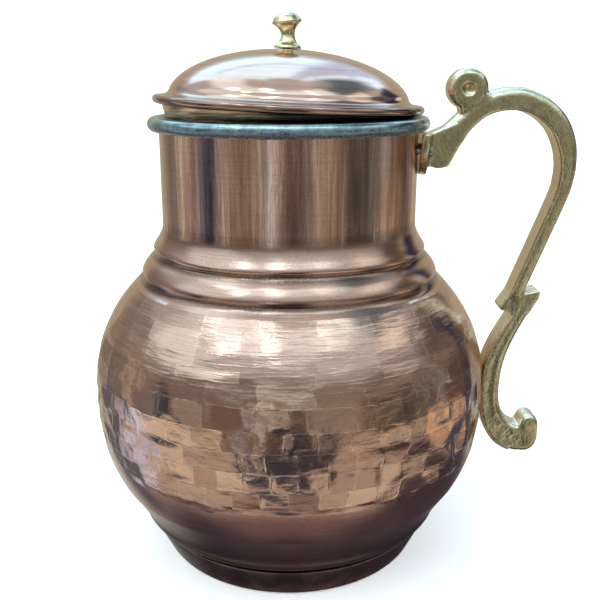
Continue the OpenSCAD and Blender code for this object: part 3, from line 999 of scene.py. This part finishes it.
# Cards round the jug: (turn from the front towards the handle, height, width, height of card, soft edge) in
# degrees, and colour
CARDS = [
    (180, 0, 84, 50, 6, (0.50, 0.48, 0.36)),
    (180, 54, 100, 46, 4, (1.2, 2.0, 2.6)),
    (180, 46, 70, 3, 1, (0.7, 1.1, 1.5)),
    (160, 52, 20, 46, 8, (0.66, 0.98, 1.4)),
    (-119, -8, 10, 24, 2, (0.24, 0.28, 0.27)),
    (-104, -8, 14, 24, 1, (0.60, 0.64, 0.58)),
    (-90, -8, 8, 24, 1, (0.27, 0.24, 0.24)),
    (-82, -8, 5, 24, 1, (0.34, 0.40, 0.48)),
    (-72, -8, 15, 24, 1, (0.015, 0.04, 0.09)),
    (-60, -8, 7, 24, 1, (0.50, 0.58, 0.60)),
    (-54, -8, 6, 24, 1, (0.44, 0.44, 0.40)),
    (4, -7, 14, 18, 1, (0.13, 0.11, 0.10)),
    (-15, -8, 5, 24, 1, (1.1, 1.5, 1.7)),
    (-9, -8, 5, 24, 1, (0.50, 0.45, 0.39)),
    (18, -8, 8, 24, 1, (0.30, 0.35, 0.39)),
    (28, -8, 9, 24, 1, (0.50, 0.52, 0.45)),
    (60, -8, 24, 18, 1, (0.075, 0.085, 0.08)),
    (78, -8, 10, 20, 1, (0.12, 0.15, 0.15)),
    (91, -8, 7, 24, 1, (0.38, 0.60, 0.68)),
    (102, -8, 9, 24, 1, (0.10, 0.12, 0.10)),
    (119, -8, 14, 18, 2, (0.05, 0.04, 0.035)),
    (-75, 33, 50, 24, 4, (0.95, 1.25, 1.35)),
    (-2, -31, 40, 30, 2, (0.045, 0.06, 0.095)),
    (-104, -29, 26, 20, 3, (0.85, 1.05, 1.4)),
    (-124, -34, 24, 30, 3, (0.13, 0.16, 0.23)),
    (-115, -64, 100, 40, 40, (0.06, 0.055, 0.08)),
    (118, -44, 96, 32, 16, (0.07, 0.06, 0.08)),
    (118, -68, 104, 30, 44, (0.06, 0.055, 0.075)),
    (98, -17, 18, 13, 3, (0.95, 0.72, 0.45)),
    (127, -23, 22, 20, 2, (0.04, 0.05, 0.12)),
    (127, 17, 20, 34, 2, (0.04, 0.05, 0.12)),
    (104, 22, 26, 20, 5, (0.13, 0.13, 0.12)),
    (104, 56, 74, 28, 16, (0.15, 0.24, 0.30)),
    (-48, 48, 9, 8, 1, (6, 8, 9)),
    (-15, 54, 10, 8, 1, (6, 8, 9)),
    (-75, 55, 12, 7, 1, (5, 6.5, 7.5)),
    (-32, 67, 20, 5, 1, (5, 6.5, 7.5)),
    (37, 57, 5, 22, 1, (3, 4, 4.5)),
    (84, 40, 34, 12, 8, (1.3, 1.5, 1.45)),
]


def soft_band(n, value, centre, width, edge):
    """1 within half the width of the centre, fading to 0 over the edge."""
    away = n.math("ABSOLUTE", n.math("SUBTRACT", value, float(centre)))
    return n.between(away, (width + edge) / 2, (width - edge) / 2)


def make_world():
    """What the metal mirrors; the camera itself sees plain near-white."""
    world = bpy.data.worlds.new("Studio")
    bpy.context.scene.world = world
    world.use_nodes = True
    n = Nodes(world.node_tree)
    x, y, z = n.split(n.node("ShaderNodeTexCoord").outputs["Generated"])
    turn = n.math("DEGREES", n.math("ARCTAN2", x, n.math("MULTIPLY", y, -1.0)))
    height = n.math("DEGREES", n.math("ARCSINE", z))
    colour = n.ramp(n.math("DIVIDE", n.math("ADD", height, 90.0), 180.0),
                    *[((h + 90) / 180, c) for h, c in SURROUNDINGS])
    for card_turn, card_height, width, tall, edge, card_colour in CARDS:
        apart = n.math("WRAP", n.math("SUBTRACT", turn, float(card_turn)), -180.0, 180.0)
        share = n.math("MULTIPLY", soft_band(n, apart, 0, width, edge),
                       soft_band(n, height, card_height, tall, edge))
        colour = n.mix(share, colour, card_colour)
    seen = n.node("ShaderNodeLightPath").outputs["Is Camera Ray"]
    colour = n.mix(seen, colour, (0.92, 0.92, 0.92))
    background = n.node("ShaderNodeBackground")
    n.put(background.inputs["Color"], colour)
    out = n.node("ShaderNodeOutputWorld")
    n.put(out.inputs["Surface"], background.outputs[0])


def floor_paint(n):
    point = n.point()
    grain = n.noise(point, 30, 3)
    return n.ramp(grain, (0.3, 0.74), (0.7, 0.78)), 0.9, None, 0.0


def make_floor():
    """Plain pale floor that turns up into a wall far out, all round."""
    wall_r = 1500
    bend_r = 500
    bend = arc((wall_r - bend_r, bend_r), bend_r, -90, 0, 16)
    outline = np.vstack([[[0, 0], [400, 0]], bend, [[wall_r, 1600]]])
    mesh = turned_mesh("Floor", outline, 96, closed=False)
    floor = bpy.data.objects.new("Floor", mesh)
    bpy.context.scene.collection.objects.link(floor)
    paint = metal("floor_paint", floor_paint)
    shader = next(node for node in paint.node_tree.nodes if node.type == "BSDF_PRINCIPLED")
    shader.inputs["Emission Color"].default_value = (1, 0.985, 0.97, 1)
    shader.inputs["Emission Strength"].default_value = 0.32
    mesh.materials.append(paint)
    floor.visible_glossy = False
    floor.visible_shadow = False


def add_lamp(name, place, size, power, colour):
    lamp = bpy.data.lights.new(name, "AREA")
    lamp.shape = "DISK"
    lamp.size = size
    lamp.energy = power
    lamp.color = colour
    holder = bpy.data.objects.new(name, lamp)
    holder.location = place
    aim = Vector((0, 0, 0.1)) - holder.location
    holder.rotation_euler = aim.to_track_quat("-Z", "Y").to_euler()
    holder.visible_glossy = False
    bpy.context.scene.collection.objects.link(holder)


def make_camera():
    data = bpy.data.cameras.new("Camera")
    data.lens = 47.88
    data.sensor_width = 36
    data.clip_start = 0.01
    camera = bpy.data.objects.new("Camera", data)
    camera.location = (0.00445, -0.3291, 0.200)
    camera.rotation_euler = (math.radians(90 - 15.86), 0, 0)
    bpy.context.scene.collection.objects.link(camera)
    bpy.context.scene.camera = camera


make_camera()
make_world()
make_floor()
add_lamp("KeyLamp", (-0.9, -1.0, 1.5), 0.9, 9, (1, 0.98, 0.95))
add_lamp("FillLamp", (1.3, -0.6, 1.1), 0.8, 4, (0.95, 0.98, 1))
bpy.context.scene.view_settings.view_transform = "Standard"

make_body()
make_pan()
make_lid_dome()
make_knob()
make_handle()
dress_cad_pieces()
